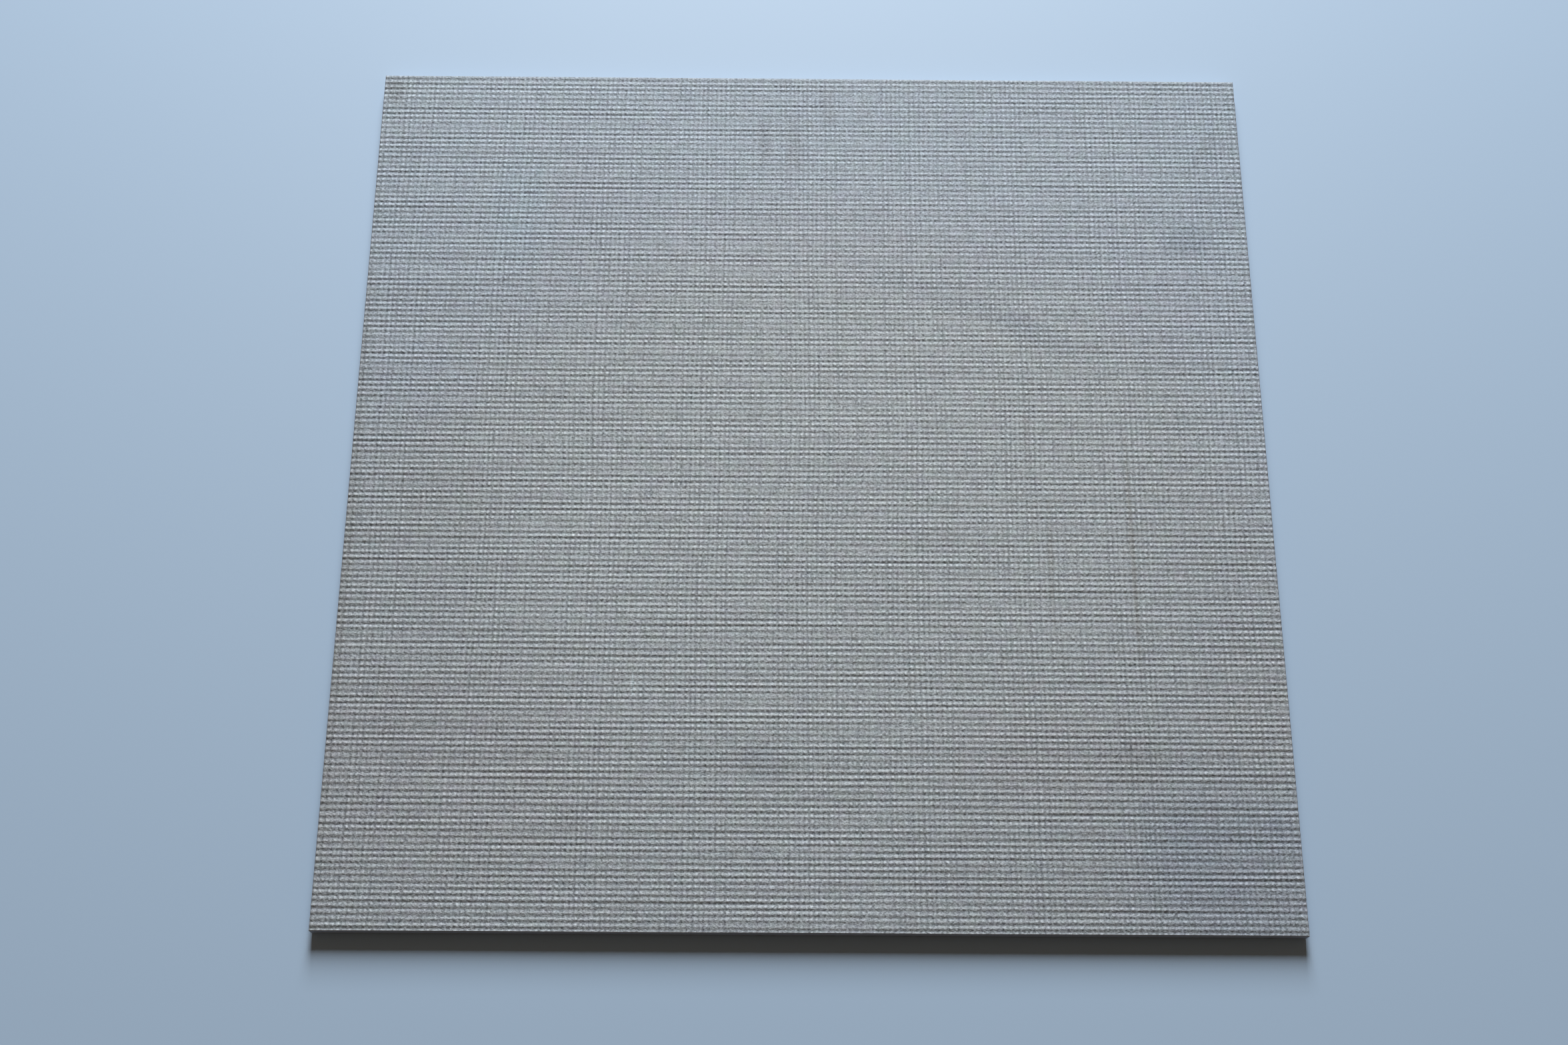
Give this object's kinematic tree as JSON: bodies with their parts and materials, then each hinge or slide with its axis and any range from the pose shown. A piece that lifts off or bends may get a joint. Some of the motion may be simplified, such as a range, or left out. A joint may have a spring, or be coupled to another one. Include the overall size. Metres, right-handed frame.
{
  "type": "floor tile",
  "caption": "Square rectified porcelain floor tile with a finely ribbed, woven-textile face in mottled grey, ground edges and a plain flat bed.",
  "frame": {"origin": "centre of the bed face, on the floor", "axes": "+Z out of the wearing face, X along the ribs of the woven face, -Y towards the viewer's edge"},
  "size_m": [0.6, 0.6, 0.01],
  "materials": {
    "porcelain": "matt woven relief face with ground edges"
  },
  "bodies": {
    "root": {"floor_tile": "porcelain"}
  },
  "joints": []
}
